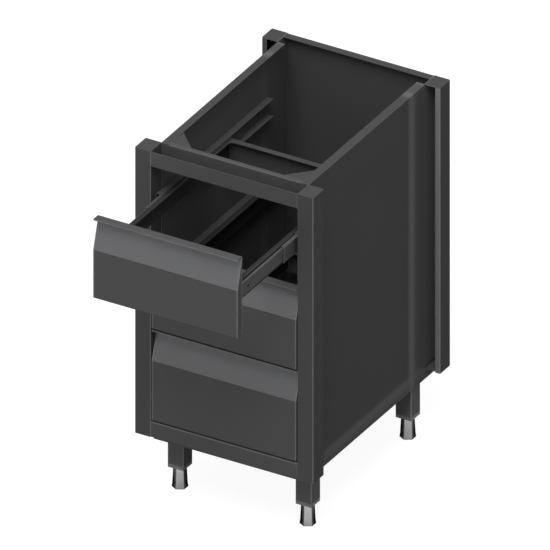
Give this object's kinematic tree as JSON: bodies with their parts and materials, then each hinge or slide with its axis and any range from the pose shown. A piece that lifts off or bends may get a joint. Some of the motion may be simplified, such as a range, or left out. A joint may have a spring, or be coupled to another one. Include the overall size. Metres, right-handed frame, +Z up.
{
  "type": "canteen counter base unit",
  "caption": "Open-topped base unit of a canteen serving counter: a folded-sheet carcass with stacked drawers for food containers on telescopic runners and adjustable feet.",
  "frame": {"origin": "On the floor, under the centre of the unit with its top drawer standing out as in the picture.", "axes": "+X to the right of someone who faces the drawers, +Y to the back, +Z up."},
  "size_m": [0.45, 0.856, 0.88],
  "materials": {
    "dark_sheet": "dark grey sheet, half gloss",
    "runner_steel": "dark drawn steel, half gloss",
    "screw_steel": "dark screws, half gloss",
    "collar_plastic": "grey moulded plastic, matt",
    "bright_foot": "bright polished"
  },
  "bodies": {
    "carcass": {"left_side_panel": "dark_sheet", "right_side_panel": "dark_sheet", "back_panel": "dark_sheet", "left_front_post": "dark_sheet", "right_front_post": "dark_sheet", "left_rear_post": "dark_sheet", "right_rear_post": "dark_sheet", "top_rail": "dark_sheet", "bottom_rail": "dark_sheet", "base_tray": "dark_sheet", "left_gusset": "dark_sheet", "right_gusset": "dark_sheet", "front_left_leg": "dark_sheet", "front_right_leg": "dark_sheet", "rear_left_leg": "dark_sheet", "rear_right_leg": "dark_sheet", "leg_plates": "dark_sheet", "leg_collars": "collar_plastic", "top_runner_outer": "runner_steel", "middle_runner_outer": "runner_steel", "bottom_runner_outer": "runner_steel", "runner_screws": "screw_steel"},
    "front_left_foot_body": {"front_left_foot": "bright_foot"},
    "front_right_foot_body": {"front_right_foot": "bright_foot"},
    "rear_left_foot_body": {"rear_left_foot": "bright_foot"},
    "rear_right_foot_body": {"rear_right_foot": "bright_foot"},
    "top_drawer": {"top_front": "dark_sheet", "top_backing": "dark_sheet", "top_left_rail": "dark_sheet", "top_right_rail": "dark_sheet", "top_rear_bar": "dark_sheet", "top_front_bar": "dark_sheet", "top_runner_inner": "runner_steel", "top_screws": "screw_steel"},
    "top_between": {"top_runner_between": "runner_steel"},
    "middle_drawer": {"middle_front": "dark_sheet", "middle_backing": "dark_sheet", "middle_left_rail": "dark_sheet", "middle_right_rail": "dark_sheet", "middle_rear_bar": "dark_sheet", "middle_front_bar": "dark_sheet", "middle_runner_inner": "runner_steel", "middle_screws": "screw_steel"},
    "middle_between": {"middle_runner_between": "runner_steel"},
    "bottom_drawer": {"bottom_front": "dark_sheet", "bottom_backing": "dark_sheet", "bottom_left_rail": "dark_sheet", "bottom_right_rail": "dark_sheet", "bottom_rear_bar": "dark_sheet", "bottom_front_bar": "dark_sheet", "bottom_runner_inner": "runner_steel", "bottom_screws": "screw_steel"},
    "bottom_between": {"bottom_runner_between": "runner_steel"}
  },
  "joints": [
    {"name": "front_left_foot_height", "type": "slide", "parent": "carcass", "child": "front_left_foot_body", "axis": [0, 0, -1], "range_m": [0, 0.025]},
    {"name": "front_right_foot_height", "type": "slide", "parent": "carcass", "child": "front_right_foot_body", "axis": [0, 0, -1], "range_m": [0, 0.025]},
    {"name": "rear_left_foot_height", "type": "slide", "parent": "carcass", "child": "rear_left_foot_body", "axis": [0, 0, -1], "range_m": [0, 0.025]},
    {"name": "rear_right_foot_height", "type": "slide", "parent": "carcass", "child": "rear_right_foot_body", "axis": [0, 0, -1], "range_m": [0, 0.025]},
    {"name": "top_drawer_slide", "type": "slide", "parent": "carcass", "child": "top_drawer", "axis": [0, -1, 0], "range_m": [-0.256, 0.244]},
    {"name": "top_between_slide", "type": "slide", "parent": "carcass", "child": "top_between", "axis": [0, -1, 0], "range_m": [-0.128, 0.122]},
    {"name": "middle_drawer_slide", "type": "slide", "parent": "carcass", "child": "middle_drawer", "axis": [0, -1, 0], "range_m": [0, 0.5]},
    {"name": "middle_between_slide", "type": "slide", "parent": "carcass", "child": "middle_between", "axis": [0, -1, 0], "range_m": [0, 0.25]},
    {"name": "bottom_drawer_slide", "type": "slide", "parent": "carcass", "child": "bottom_drawer", "axis": [0, -1, 0], "range_m": [0, 0.5]},
    {"name": "bottom_between_slide", "type": "slide", "parent": "carcass", "child": "bottom_between", "axis": [0, -1, 0], "range_m": [0, 0.25]}
  ],
  "couplings": [
    {"joint": "top_between_slide", "follows": "top_drawer_slide", "ratio": 0.5},
    {"joint": "middle_between_slide", "follows": "middle_drawer_slide", "ratio": 0.5},
    {"joint": "bottom_between_slide", "follows": "bottom_drawer_slide", "ratio": 0.5}
  ]
}
